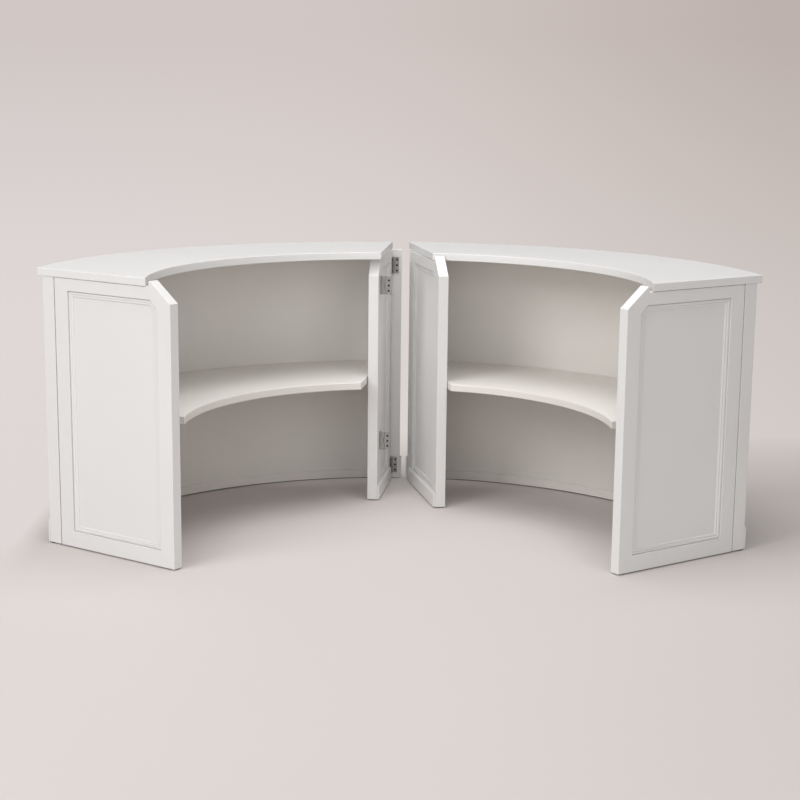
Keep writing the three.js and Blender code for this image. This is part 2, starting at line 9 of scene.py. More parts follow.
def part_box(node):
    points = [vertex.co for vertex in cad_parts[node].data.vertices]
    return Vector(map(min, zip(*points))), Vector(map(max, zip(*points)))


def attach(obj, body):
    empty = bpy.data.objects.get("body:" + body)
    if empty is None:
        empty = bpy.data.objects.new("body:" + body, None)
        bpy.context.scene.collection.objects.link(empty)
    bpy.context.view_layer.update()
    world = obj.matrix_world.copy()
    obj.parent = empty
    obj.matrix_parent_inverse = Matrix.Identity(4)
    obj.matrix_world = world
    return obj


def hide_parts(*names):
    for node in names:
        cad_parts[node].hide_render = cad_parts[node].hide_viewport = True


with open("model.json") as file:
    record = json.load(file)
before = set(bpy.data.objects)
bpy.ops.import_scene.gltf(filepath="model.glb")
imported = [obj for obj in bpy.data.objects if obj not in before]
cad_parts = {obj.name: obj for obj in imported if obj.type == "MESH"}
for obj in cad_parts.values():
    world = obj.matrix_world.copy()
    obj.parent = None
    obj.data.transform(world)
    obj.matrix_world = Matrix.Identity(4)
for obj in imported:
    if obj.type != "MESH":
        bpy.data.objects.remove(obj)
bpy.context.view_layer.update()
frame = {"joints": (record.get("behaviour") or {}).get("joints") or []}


# Front walls. A curved sheet of board is the backbone of each half. It is bent to the bar's curve, sawn off
# beside the posts, eased along its edges, and painted satin white on the front. Its inside takes a warmer
# white, a painted tint standing in for warm bounce light in the bar's shade.
# Like every piece, it is made as for the right-hand half and reflected for the left.
HANDS = {"left": -1, "right": 1}
UP = Vector((0, 0, 1))
ACROSS = Vector((1, 0, 0))
WALL_OUTER_RADIUS = 1.357
WALL_THICKNESS = 0.024
CENTRE_PIN_RADIUS = 1.3142
OUTER_SPLAY = math.radians(34)
HINGE_STAND_OFF = 0.0048
FIT_GAP = 0.0003
CURVE_START = math.radians(-1)
CURVE_END = math.radians(95)
CURVE_STEP = math.radians(0.5)
SAW_CLEARANCE = 0.004
SAW_TOLERANCE = 0.00001
CUT_FACE_DEPTH = 0.00002
MERGE_DISTANCE = 0.000001
EASED_ANGLE = math.radians(30)
EASING_STEPS = 2
SMOOTH_ANGLE = math.radians(50)
WALL_EASING = 0.001
PAINT_DRIFT = {"scale": 2.5, "detail": 3}
PAINT_SHEEN = {"scale": 14, "detail": 4}
PAINT_PEEL = {"scale": 420, "detail": 2}
PEEL_HEIGHT = 0.0002
PEEL_STRENGTH = 0.12
SATIN_TONES = ((0.79, 0.78, 0.77), (0.84, 0.835, 0.828))
SATIN_ROUGHNESS = (0.36, 0.48)
BOUNCE_TINTED_TONES = ((0.80, 0.768, 0.728), (0.85, 0.822, 0.784))
WARM_ROUGHNESS = (0.40, 0.52)

pins = {joint["name"]: Vector((*joint["pos_m"][:2], 0)) for joint in frame["joints"] if "pos_m" in joint}
outer_pin = pins["right_outer_wing_fold"]
centre_pins = {}
centre_posts = {}
for side, hand in HANDS.items():
    pin = pins[f"{side}_centre_wing_swing"]
    centre_pins[side] = Vector((hand * pin.x, pin.y, 0))
    low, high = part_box(f"{side}_centre_post")
    ends = sorted((hand * low.x, hand * high.x))
    centre_posts[side] = (Vector((ends[0], low.y, low.z)), Vector((ends[1], high.y, high.z)))
curve_centre = Vector((0, centre_pins["right"].y - CENTRE_PIN_RADIUS, 0))
wall_inner_radius = WALL_OUTER_RADIUS - WALL_THICKNESS
outer_run = Vector((-math.cos(OUTER_SPLAY), -math.sin(OUTER_SPLAY), 0))
outer_outward = Vector((math.sin(OUTER_SPLAY), -math.cos(OUTER_SPLAY), 0))
outer_post_back = outer_pin + outer_outward * HINGE_STAND_OFF


def heights(node):
    low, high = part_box(node)
    return low.z, high.z


def rectangle(inner, outer, bottom, top):
    return [(inner, bottom), (outer, bottom), (outer, top), (inner, top)]


def bent(profile, start=CURVE_START, end=CURVE_END):
    """A board of the given section, as radius and height, bent to the bar's curve."""
    board = bmesh.new()
    corners = [board.verts.new(curve_centre + Vector((0, radius, height))) for radius, height in profile]
    section = board.faces.new(corners)
    bmesh.ops.rotate(board, verts=corners, cent=curve_centre, matrix=Matrix.Rotation(-start, 3, "Z"))
    bmesh.ops.spin(
        board, geom=[section, *section.edges, *corners], cent=curve_centre, axis=-UP,
        angle=end - start, steps=math.ceil((end - start) / CURVE_STEP))
    return board


def sawn(board, *cuts):
    """Saws off what lies beyond each plane, closes the cuts, and draws ring lines back from them."""
    for point, outward in cuts:
        parts = [*board.verts, *board.edges, *board.faces]
        cut = bmesh.ops.bisect_plane(
            board, geom=parts, dist=SAW_TOLERANCE, plane_co=point, plane_no=outward, clear_outer=True)
        rim = [part for part in cut["geom_cut"] if isinstance(part, bmesh.types.BMEdge)]
        bmesh.ops.edgeloop_fill(board, edges=rim)
    for point, outward in cuts:
        near = []
        for vert in board.verts:
            depths = [abs((vert.co - other).dot(away.normalized())) for other, away in cuts]
            close = abs((vert.co - point).dot(outward.normalized())) < SAW_CLEARANCE
            if close and min(depths) > CUT_FACE_DEPTH:
                near.append(vert)
        turn = math.copysign(CURVE_STEP / 2, outward.cross(point - curve_centre).z)
        bmesh.ops.rotate(board, verts=near, cent=curve_centre, matrix=Matrix.Rotation(turn, 3, "Z"))
    return board


def eased(shape, width):
    """Takes the sharpness off every corner edge, as sanding before painting does."""
    bmesh.ops.recalc_face_normals(shape, faces=shape.faces)
    corners = [edge for edge in shape.edges if edge.is_manifold and edge.calc_face_angle() > EASED_ANGLE]
    bmesh.ops.bevel(
        shape, geom=corners, offset=width, offset_type="OFFSET", affect="EDGES", segments=EASING_STEPS,
        profile=0.5, material=-1)
    return shape


def joined(*shapes):
    whole = bmesh.new()
    for shape in shapes:
        mesh = bpy.data.meshes.new("joined")
        shape.to_mesh(mesh)
        shape.free()
        whole.from_mesh(mesh)
        bpy.data.meshes.remove(mesh)
    return whole


def placed(name, shape, hand, body, slot, finish, *nodes):
    """Makes an object of a right-hand half's shape, reflected for the left, on the body that carries it."""
    if hand < 0:
        bmesh.ops.scale(shape, vec=(-1, 1, 1), verts=shape.verts)
    bmesh.ops.remove_doubles(shape, verts=shape.verts, dist=MERGE_DISTANCE)
    bmesh.ops.recalc_face_normals(shape, faces=shape.faces)
    mesh = bpy.data.meshes.new(name)
    shape.to_mesh(mesh)
    shape.free()
    mesh.materials.append(finish)
    mesh.shade_smooth()
    mesh.set_sharp_from_angle(angle=SMOOTH_ANGLE)
    piece = bpy.data.objects.new(name, mesh)
    bpy.context.collection.objects.link(piece)
    shading = piece.modifiers.new("flat_faces_stay_flat", "WEIGHTED_NORMAL")
    shading.keep_sharp = True
    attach(piece, body)
    if nodes:
        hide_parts(*nodes)
    return piece


def noise(material, scale, detail, stretch=(1, 1, 1)):
    """Noise on the piece's own coordinates, from 0 to 1."""
    nodes = material.node_tree.nodes
    links = material.node_tree.links
    place = nodes.new("ShaderNodeTexCoord")
    mapping = nodes.new("ShaderNodeMapping")
    mapping.inputs["Scale"].default_value = stretch
    texture = nodes.new("ShaderNodeTexNoise")
    texture.inputs["Scale"].default_value = scale
    texture.inputs["Detail"].default_value = detail
    links.new(place.outputs["Object"], mapping.inputs["Vector"])
    links.new(mapping.outputs["Vector"], texture.inputs["Vector"])
    return texture.outputs["Fac"]


def toned(material, value, dark, light):
    ramp = material.node_tree.nodes.new("ShaderNodeValToRGB")
    ramp.color_ramp.elements[0].color = (*dark, 1)
    ramp.color_ramp.elements[1].color = (*light, 1)
    shader = material.node_tree.nodes["Principled BSDF"]
    material.node_tree.links.new(value, ramp.inputs["Fac"])
    material.node_tree.links.new(ramp.outputs["Color"], shader.inputs["Base Color"])


def polished(material, value, smoothest, roughest):
    spread = material.node_tree.nodes.new("ShaderNodeMapRange")
    spread.inputs["To Min"].default_value = smoothest
    spread.inputs["To Max"].default_value = roughest
    shader = material.node_tree.nodes["Principled BSDF"]
    material.node_tree.links.new(value, spread.inputs["Value"])
    material.node_tree.links.new(spread.outputs["Result"], shader.inputs["Roughness"])


def dimpled(material, value, height, strength):
    bump = material.node_tree.nodes.new("ShaderNodeBump")
    bump.inputs["Distance"].default_value = height
    bump.inputs["Strength"].default_value = strength
    shader = material.node_tree.nodes["Principled BSDF"]
    material.node_tree.links.new(value, bump.inputs["Height"])
    material.node_tree.links.new(bump.outputs["Normal"], shader.inputs["Normal"])


def painted(name, tones, roughness):
    """Sprayed paint: a slight drift of tone, uneven gloss and a fine orange-peel surface."""
    paint = bpy.data.materials.new(name)
    paint.use_nodes = True
    toned(paint, noise(paint, **PAINT_DRIFT), *tones)
    polished(paint, noise(paint, **PAINT_SHEEN), *roughness)
    dimpled(paint, noise(paint, **PAINT_PEEL), PEEL_HEIGHT, PEEL_STRENGTH)
    return paint


satin_white = painted("satin_white_paint", SATIN_TONES, SATIN_ROUGHNESS)
# Warmer white for the inside: a painted tint standing in for warm bounce light in the bar's shade.
bounce_tinted_white = painted("bounce_tinted_white_paint", BOUNCE_TINTED_TONES, WARM_ROUGHNESS)


def between_posts(side):
    """Saw cuts that fit a curved board between the two posts of a half."""
    post_back = centre_posts[side][1]
    outer_cut = (outer_post_back - outer_outward * FIT_GAP, outer_outward)
    return outer_cut, (post_back + ACROSS * FIT_GAP, -ACROSS)


for side, hand in HANDS.items():
    node = f"{side}_front_wall"
    wall = bent(rectangle(wall_inner_radius, WALL_OUTER_RADIUS, *heights(node)))
    wall = eased(sawn(wall, *between_posts(side)), WALL_EASING)
    piece = placed(f"{side}_curved_wall", wall, hand, f"{side}_section", "white_paint", bounce_tinted_white, node)
    # The front faces take the satin white; the inside keeps the warmer white of painted bounce light.
    piece.data.materials.append(satin_white)
    front_finish = len(piece.data.materials) - 1
    for face in piece.data.polygons:
        if face.normal.xy.dot(face.center.xy - curve_centre.xy) > 0:
            face.material_index = front_finish


# Posts. A solid timber upright closes the wall at each end and carries the wings' hinges.
# The outer post is splayed in line with its wing, the centre post stands square, and both are planed
# to the wall's curve on the front and painted. The left centre post runs on as a cover strip.
WING_THICKNESS = 0.042
OUTER_SEAM = 0.0045
POST_CORE_RADIUS = 1.25
POST_EASING = 0.0015

outer_face = outer_post_back + outer_outward * WING_THICKNESS
outer_end = (outer_face, outer_outward)
centre_ends = {side: (low, -ACROSS) for side, (low, high) in centre_posts.items()}
for side, hand in HANDS.items():
    bottom, top = heights(f"{side}_outer_post")
    timber = rectangle(POST_CORE_RADIUS, WALL_OUTER_RADIUS, bottom, top)
    seam_side = (outer_pin - outer_run * OUTER_SEAM / 2, outer_run)
    outer = sawn(bent(timber), outer_end, (outer_post_back, -outer_outward), seam_side)
    placed(
        f"{side}_outer_upright", eased(outer, POST_EASING), hand, f"{side}_section", "white_paint",
        satin_white, f"{side}_outer_post")
    post_low, post_high = centre_posts[side]
    centre = sawn(bent(timber), centre_ends[side], (post_high, ACROSS), (post_low, Vector((0, -1, 0))))
    placed(
        f"{side}_centre_upright", eased(centre, POST_EASING), hand, f"{side}_section", "white_paint",
        satin_white, f"{side}_centre_post")


# Skirtings. A painted board with a chamfered top is pinned along the foot of the front, and a short
# length returns round the centre post's end.
SKIRTING_THICKNESS = 0.007
SKIRTING_CHAMFER_HEIGHT = 0.007
SKIRTING_CHAMFER_DEPTH = 0.0045
SKIRTING_EASING = 0.0006


def moulded_edge(back, front, bottom, top):
    """Section of a thin board with a chamfered top edge, from its back to its face."""
    lean = math.copysign(SKIRTING_CHAMFER_DEPTH, front - back)
    shoulder = top - SKIRTING_CHAMFER_HEIGHT
    return [(back, bottom), (front, bottom), (front, shoulder), (front - lean, top), (back, top)]


def drawn_out(corners, travel):
    """A straight length of timber or metal: a flat outline drawn out along a line."""
    length = bmesh.new()
    outline = length.faces.new([length.verts.new(corner) for corner in corners])
    drawn = bmesh.ops.extrude_face_region(length, geom=[outline])["geom"]
    moved = [part for part in drawn if isinstance(part, bmesh.types.BMVert)]
    bmesh.ops.translate(length, verts=moved, vec=travel)
    return length


wall_face = WALL_OUTER_RADIUS + FIT_GAP
for side, hand in HANDS.items():
    bottom, top = heights(f"{side}_front_skirting")
    post_low = centre_posts[side][0]
    run_end = Vector((post_low.x - FIT_GAP - SKIRTING_THICKNESS, post_low.y, 0))
    run = bent(moulded_edge(wall_face, wall_face + SKIRTING_THICKNESS, bottom, top))
    run = eased(sawn(run, outer_end, (run_end, -ACROSS)), SKIRTING_EASING)
    profile = moulded_edge(run_end.x + SKIRTING_THICKNESS, run_end.x, bottom, top)
    turn_length = curve_centre.y + WALL_OUTER_RADIUS - run_end.y
    turn = drawn_out([(x, run_end.y, z) for x, z in profile], (0, turn_length, 0))
    placed(
        f"{side}_skirting_board", joined(run, eased(turn, SKIRTING_EASING)), hand, f"{side}_section",
        "white_paint", satin_white, f"{side}_front_skirting")


# Front frames. A top rail and upright stiles are planted on the front wall and butt against each other,
# so that the wall shows between them as sunk panels. They stop short of the wall's outer end.
FRAME_THICKNESS = 0.007
FRAME_RAIL_HEIGHT = 0.078
FRAME_STILE_WIDTH = 0.066
FRAME_PANELS = 3
FRAME_JOINT = 0.0002
FRAME_EASING = 0.001
FRAME_END_ANGLE = math.radians(79.4)

stile_angle = FRAME_STILE_WIDTH / WALL_OUTER_RADIUS
frame_way = Vector((math.sin(FRAME_END_ANGLE), math.cos(FRAME_END_ANGLE), 0))
frame_end = (curve_centre + frame_way * WALL_OUTER_RADIUS, outer_outward)


def stile_places(side):
    """Angles of the curve at which a half's stiles begin."""
    start = math.asin(centre_posts[side][0].x / WALL_OUTER_RADIUS)
    pitch = (FRAME_END_ANGLE - start - stile_angle) / FRAME_PANELS
    return [start + place * pitch for place in range(FRAME_PANELS + 1)]


for side, hand in HANDS.items():
    bottom, top = heights(f"{side}_front_frame")
    rail_bottom = top - FRAME_RAIL_HEIGHT
    rail = bent(rectangle(wall_face, wall_face + FRAME_THICKNESS, rail_bottom, top))
    boards = [eased(sawn(rail, frame_end, centre_ends[side]), FRAME_EASING)]
    stile = rectangle(wall_face, wall_face + FRAME_THICKNESS, bottom, rail_bottom - FRAME_JOINT)
    for place, angle in enumerate(stile_places(side)):
        if place == 0:
            board = sawn(bent(stile, CURVE_START, angle + stile_angle), centre_ends[side])
        elif place == FRAME_PANELS:
            board = sawn(bent(stile, angle, CURVE_END), frame_end)
        else:
            board = bent(stile, angle, angle + stile_angle)
        boards.append(eased(board, FRAME_EASING))
    placed(
        f"{side}_front_rail_and_stiles", joined(*boards), hand, f"{side}_section", "white_paint",
        satin_white, f"{side}_front_frame")


# Front panel mouldings. Four mitred strips of ogee moulding are pinned round each sunk panel of the
# front, against the rail, the stiles and the skirting.
STRIP_PROFILE = [
    (0, 0), (0.016, 0), (0.016, 0.0012), (0.011, 0.0022), (0.007, 0.0048), (0.002, 0.0054), (0, 0.0046)]
STRIP_WASTE = 0.004


def front_axes(angle):
    """A point of the wall's front at an angle of the curve, with its outward and sideways directions."""
    outward = Vector((math.sin(angle), math.cos(angle), 0))
    sideways = Vector((math.cos(angle), -math.sin(angle), 0))
    return curve_centre + outward * (wall_face + FIT_GAP), outward, sideways


def upright_strip(angle, bottom, top, inward):
    """One side of a panel's moulding, mitred at both ends; inward is 1 or -1 along the curve."""
    foot, outward, sideways = front_axes(angle)
    across = sideways * inward
    start = foot + UP * (bottom - STRIP_WASTE)
    outline = [start + across * x + outward * y for x, y in STRIP_PROFILE]
    strip = drawn_out(outline, UP * (top - bottom + 2 * STRIP_WASTE))
    return sawn(strip, (foot + UP * bottom, across - UP), (foot + UP * top, across + UP))


def level_strip(start, end, height, upward):
    """The top or foot of a panel's moulding, bent to the curve and mitred at both ends."""
    radius = wall_face + FIT_GAP
    profile = [(radius + y, height + upward * x) for x, y in STRIP_PROFILE]
    waste = STRIP_WASTE / radius
    strip = bent(profile, start - waste, end + waste)
    start_foot, _, start_sideways = front_axes(start)
    end_foot, _, end_sideways = front_axes(end)
    start_mitre = (start_foot + UP * height, UP * upward - start_sideways)
    end_mitre = (end_foot + UP * height, UP * upward + end_sideways)
    return sawn(strip, start_mitre, end_mitre)


for side, hand in HANDS.items():
    bottom, top = heights(f"{side}_front_frame")
    strips = []
    stiles = stile_places(side)
    for stile, following in zip(stiles, stiles[1:]):
        gap_angle = FIT_GAP / WALL_OUTER_RADIUS
        start = stile + stile_angle + gap_angle
        end = following - gap_angle
        high = top - FRAME_RAIL_HEIGHT - FIT_GAP
        strips += [upright_strip(start, bottom, high, 1), upright_strip(end, bottom, high, -1)]
        strips += [level_strip(start, end, bottom, 1), level_strip(start, end, high, -1)]
    placed(
        f"{side}_front_panel_mouldings", joined(*strips), hand, f"{side}_section", "white_paint",
        satin_white)


# Rails inside the wall. A base rail covers the joint with the floor, and a deeper top rail carries the
# counter. Both are bent softwood, glued and pinned to the wall.
BASE_RAIL_THICKNESS = 0.009
TOP_RAIL_DEPTH = 0.034
RAIL_EASING = 0.002

lined_radius = wall_inner_radius - FIT_GAP
rail_depths = {"base_rail": BASE_RAIL_THICKNESS, "top_rail": TOP_RAIL_DEPTH}
for side, hand in HANDS.items():
    for rail, depth in rail_depths.items():
        node = f"{side}_{rail}"
        board = bent(rectangle(lined_radius - depth, lined_radius, *heights(node)))
        board = eased(sawn(board, *between_posts(side)), RAIL_EASING)
        # The rails take the warmer white, the painted tint of warm bounce light inside the bar.
        placed(f"{node}_board", board, hand, f"{side}_section", "white_paint", bounce_tinted_white, node)


# Foot strips. A dark nylon strip under the wall and posts keeps the painted wood off the floor and shows
# as a thin shadow line all round.
FOOT_INSET = 0.004
FOOT_EASING = 0.0008
NYLON_DRIFT = {"scale": 60, "detail": 3}
NYLON_SHEEN = {"scale": 240, "detail": 2}
NYLON_GRAIN = {"scale": 1800, "detail": 2}
NYLON_GRAIN_HEIGHT = 0.0001
NYLON_GRAIN_STRENGTH = 0.3
NYLON_TONES = ((0.030, 0.029, 0.028), (0.048, 0.046, 0.044))
NYLON_ROUGHNESS = (0.52, 0.70)


def moulded_nylon(name):
    """Injection-moulded nylon: dark grey, matt, with a fine spark-eroded grain."""
    nylon = bpy.data.materials.new(name)
    nylon.use_nodes = True
    toned(nylon, noise(nylon, **NYLON_DRIFT), *NYLON_TONES)
    polished(nylon, noise(nylon, **NYLON_SHEEN), *NYLON_ROUGHNESS)
    dimpled(nylon, noise(nylon, **NYLON_GRAIN), NYLON_GRAIN_HEIGHT, NYLON_GRAIN_STRENGTH)
    return nylon


foot_nylon = moulded_nylon("dark_foot_nylon")
for side, hand in HANDS.items():
    node = f"{side}_foot_strip"
    section = rectangle(wall_inner_radius + FOOT_INSET, WALL_OUTER_RADIUS - FOOT_INSET, *heights(node))
    outer_stop = (outer_face - outer_outward * FOOT_INSET, outer_outward)
    centre_stop = (centre_posts[side][0] + ACROSS * FOOT_INSET, -ACROSS)
    strip = eased(sawn(bent(section), outer_stop, centre_stop), FOOT_EASING)
    placed(f"{side}_nylon_foot", strip, hand, f"{side}_section", "foot_nylon", foot_nylon, node)


# Shelf bearers. A curved cleat is screwed to the wall, and three battens reach out from it under the shelf.
# Plain planed softwood, painted with the rest.
CLEAT_DEPTH = 0.025
OUTER_END_ANGLE = math.radians(80.8)
ARM_COUNT = 3
ARM_LENGTH = 0.290
ARM_HEIGHT = 0.022
ARM_WIDTH = 0.024
ARM_CHAMFER = 0.012
BEARER_EASING = 0.0015

for side, hand in HANDS.items():
    bottom, top = heights(f"{side}_shelf_bearer")
    cleat_face = lined_radius - CLEAT_DEPTH
    cleat = bent(rectangle(cleat_face, lined_radius, bottom, top))
    timbers = [eased(sawn(cleat, *between_posts(side)), BEARER_EASING)]
    tip = curve_centre.y + cleat_face - ARM_LENGTH
    heel = curve_centre.y + cleat_face - FRAME_JOINT
    side_view = [(heel, top), (heel, top - ARM_HEIGHT), (tip + ARM_CHAMFER, top - ARM_HEIGHT)]
    side_view += [(tip, top - ARM_CHAMFER), (tip, top)]
    for place in range(1, ARM_COUNT + 1):
        arm = drawn_out([(-ARM_WIDTH / 2, y, z) for y, z in side_view], ACROSS * ARM_WIDTH)
        turn = Matrix.Rotation(-OUTER_END_ANGLE * place / (ARM_COUNT + 1), 3, "Z")
        bmesh.ops.rotate(arm, verts=arm.verts, cent=curve_centre, matrix=turn)
        timbers.append(eased(arm, BEARER_EASING))
    # The cleat and arms take the warmer white, the painted tint of warm bounce light inside the bar.
    placed(
        f"{side}_cleat_and_arms", joined(*timbers), hand, f"{side}_section", "white_paint", bounce_tinted_white,
        f"{side}_shelf_bearer")


# Shelves. A curved board rests on each bearer and lifts out. It is cut to clear both wings, has a lightly
# rounded front edge and is painted like the wall.
SHELF_FRONT_RADIUS = 0.790
SHELF_WALL_CLEARANCE = 0.002
SHELF_WING_CLEARANCE = 0.004
SHELF_FOLD_CLEARANCE = 0.012
SHELF_EASING = 0.003
OUTER_WING_FOLD = math.radians(12)
CENTRE_WING_ANGLES = {"left": math.radians(7.7), "right": math.radians(12.9)}

shelf_back = wall_inner_radius - SHELF_WALL_CLEARANCE
folded_outward = Matrix.Rotation(-OUTER_WING_FOLD, 3, "Z") @ outer_outward
fold_cut = (outer_pin + folded_outward * (HINGE_STAND_OFF - SHELF_FOLD_CLEARANCE), folded_outward)
post_cut = (outer_post_back - outer_outward * SHELF_FOLD_CLEARANCE, outer_outward)
wing_backs = {"left": HINGE_STAND_OFF + WING_THICKNESS, "right": -HINGE_STAND_OFF}
for side, hand in HANDS.items():
    upright_cut = (centre_posts[side][1] + ACROSS * SHELF_WALL_CLEARANCE, -ACROSS)
    wing_inward = Matrix.Rotation(CENTRE_WING_ANGLES[side], 3, "Z") @ ACROSS
    wing_back = centre_pins[side] + wing_inward * (wing_backs[side] + SHELF_WING_CLEARANCE)
    wing_cut = (wing_back, -wing_inward)
    shelf = bent(rectangle(SHELF_FRONT_RADIUS, shelf_back, *heights(f"{side}_shelf")))
    shelf = eased(sawn(shelf, fold_cut, post_cut, upright_cut, wing_cut), SHELF_EASING)
    # The shelf takes the warmer white, the painted tint of warm bounce light inside the bar.
    placed(
        f"{side}_curved_shelf", shelf, hand, f"{side}_shelf_board", "white_paint", bounce_tinted_white,
        f"{side}_shelf")


# Counter tops. A thick curved slab caps each half, overhangs the front and lifts off. Its edges are
# rounded over and its lacquered paint has a little more gloss than the rest.
COUNTER_OUTER_RADIUS = 1.379
COUNTER_DEPTH = 0.470
COUNTER_END_OVERHANG = 0.003
COUNTER_CENTRE_GAP = 0.072
COUNTER_CENTRE_ANGLES = {"left": math.radians(5.2), "right": math.radians(11.6)}
COUNTER_EASING = 0.0025
LACQUER_TONES = ((0.80, 0.793, 0.785), (0.85, 0.845, 0.84))
LACQUER_ROUGHNESS = (0.28, 0.38)

lacquered_white = painted("lacquered_white_paint", LACQUER_TONES, LACQUER_ROUGHNESS)
counter_end = (outer_face + outer_outward * COUNTER_END_OVERHANG, outer_outward)
centre_corner = curve_centre + Vector((COUNTER_CENTRE_GAP / 2, COUNTER_OUTER_RADIUS, 0))
for side, hand in HANDS.items():
    slab = rectangle(
        COUNTER_OUTER_RADIUS - COUNTER_DEPTH, COUNTER_OUTER_RADIUS, *heights(f"{side}_counter_top"))
    centre_outward = Matrix.Rotation(COUNTER_CENTRE_ANGLES[side], 3, "Z") @ -ACROSS
    counter = eased(sawn(bent(slab), counter_end, (centre_corner, centre_outward)), COUNTER_EASING)
    placed(
        f"{side}_counter_slab", counter, hand, f"{side}_counter", "white_paint", lacquered_white,
        f"{side}_counter_top")


# Locating rails. A bent batten under each counter top drops in behind the top rail and stops it sliding.
# Softwood, glued and screwed up into the counter.
LOCATING_DEPTH = 0.022
LOCATING_CLEARANCE = 0.002
LOCATING_END_ANGLE = math.radians(12)

locating_outer = lined_radius - TOP_RAIL_DEPTH - LOCATING_CLEARANCE
for side, hand in HANDS.items():
    section = rectangle(
        locating_outer - LOCATING_DEPTH, locating_outer, *heights(f"{side}_counter_locating_rail"))
    batten = eased(bent(section, LOCATING_END_ANGLE, OUTER_END_ANGLE - LOCATING_END_ANGLE), RAIL_EASING)
    placed(
        f"{side}_locating_batten", batten, hand, f"{side}_counter", "white_paint", satin_white,
        f"{side}_counter_locating_rail")


# Wings. Each is a painted timber frame with its top free corner cut off, a flat panel let into the show
# face behind a stepped moulding, and one nylon glide under the free end. Each is made about its hinge's
# pin, with +X along the wing. Those that reach past the counter stand up in front of its edge.
OUTER_WING_WIDTH = 0.575
CENTRE_WING_WIDTHS = {"left": 0.396, "right": 0.512}
CENTRE_WING_SETBACK = 0.006
WING_TOP_CLEARANCE = 0.0015
OUTER_CORNER = (0.094, 0.076)
CENTRE_CORNERS = {"left": (0.058, 0.069), "right": (0.076, 0.076)}
OUTER_NOTCH = 0.475
CENTRE_NOTCHES = {"left": None, "right": 0.439}
HEAD_RISE = 0.020
HEAD_LEAD = 0.020
HEAD_SHARES = (0.1, 0.2, 0.3)
STILE_WIDTH = 0.066
HEAD_RAIL_HEIGHT = 0.046
FOOT_RAIL_HEIGHT = 0.062
PANEL_CLIP = 0.030
RECESS_DEPTH = 0.011
PANEL_THICKNESS = 0.012
GLIDE_RADIUS = 0.010
GLIDE_END_DISTANCE = 0.040
GLIDE_SIDES = 32
WING_EASING = 0.0012
PANEL_EASING = 0.0004
MITRE_SHARE = 2 - math.sqrt(2)
MOULDING_PROFILE = [
    (0.0003, 0.0107), (0.0003, 0.0088), (0.0030, 0.0088), (0.0036, 0.0042), (0.0084, 0.0038),
    (0.0108, 0.0052), (0.0122, 0.0078), (0.0148, 0.0062), (0.0190, 0.0066), (0.0220, 0.0092),
    (0.0220, 0.0107)]


def clipped(left, right, bottom, top, inset=0):
    """Corners of the sunk panel, whose top free corner is cut off, drawn in by an even margin."""
    cut = PANEL_CLIP - inset * MITRE_SHARE
    left, right, bottom, top = left + inset, right - inset, bottom + inset, top - inset
    return [(left, bottom), (right, bottom), (right, top - cut), (right - cut, top), (left, top)]


def skinned(loops, ring=True):
    """Joins loops of points edge by edge: the last to the first as a ring, or else capped at both ends."""
    shape = bmesh.new()
    rims = []
    for loop in loops:
        points = [shape.verts.new(point) for point in loop]
        rims.append([shape.edges.new(ends) for ends in zip(points, points[1:] + points[:1])])
    following = rims[1:] + rims[:1] if ring else rims[1:]
    for rim, after in zip(rims, following):
        for edge, other in zip(rim, after):
            bmesh.ops.bridge_loops(shape, edges=[edge, other])
    if not ring:
        for rim in (rims[0], rims[-1]):
            bmesh.ops.edgeloop_fill(shape, edges=rim)
    return shape


def level(corners, depth):
    return [(x, depth, z) for x, z in corners]


def round_bar(radius, bottom, top, sides, easing):
    """An upright bar about the Z axis with eased ends."""
    bar = bmesh.new()
    bmesh.ops.create_cone(
        bar, cap_ends=True, segments=sides, radius1=radius, radius2=radius, depth=top - bottom)
    bmesh.ops.translate(bar, verts=bar.verts, vec=UP * (bottom + top) / 2)
    return eased(bar, easing)


def stood(shape, pin, heading, height=0):
    """Turns a shape made about a hinge's own axis into its place on the bar."""
    place = Matrix.Translation(pin + UP * height) @ Matrix.Rotation(heading, 4, "Z")
    bmesh.ops.transform(shape, matrix=place, verts=shape.verts)
    return shape


def wing_plan(side, kind):
    """A wing's pin and heading, its two ends along it, its show face, and the way in from that face."""
    near, far = HINGE_STAND_OFF, HINGE_STAND_OFF + WING_THICKNESS
    if kind == "outer":
        begin = OUTER_SEAM / 2
        return outer_pin, math.pi + OUTER_SPLAY, begin, begin + OUTER_WING_WIDTH, far, -1
    heading = CENTRE_WING_ANGLES[side] - math.pi / 2
    end = CENTRE_WING_SETBACK + CENTRE_WING_WIDTHS[side]
    show = near if side == "left" else -far
    return centre_pins[side], heading, CENTRE_WING_SETBACK, end, show, 1


def wing_outline(side, kind, begin, end, bottom, underside):
    """A wing's corners, seen from its face. A notched one rises in front of the counter's edge."""
    top = underside - WING_TOP_CLEARANCE
    run, rise = OUTER_CORNER if kind == "outer" else CENTRE_CORNERS[side]
    notch = OUTER_NOTCH if kind == "outer" else CENTRE_NOTCHES[side]
    crown = underside + HEAD_RISE if notch else top
    head = [(notch, crown), (notch, top), (notch - HEAD_LEAD, top)] if notch else []
    return [(begin, bottom), (end, bottom), (end, crown - rise), (end - run, crown), *head, (begin, top)]


def paired_opening(outline, recess):
    """The recess's corners, with points added along its cut corner to match those of a notched outline."""
    corners = clipped(*recess)
    *foot, clip_low, clip_high, hinge_side = corners
    shares = HEAD_SHARES if len(outline) > len(corners) else ()
    along_clip = [Vector(clip_low).lerp(Vector(clip_high), share) for share in shares]
    return [*foot, clip_low, *along_clip, clip_high, hinge_side]


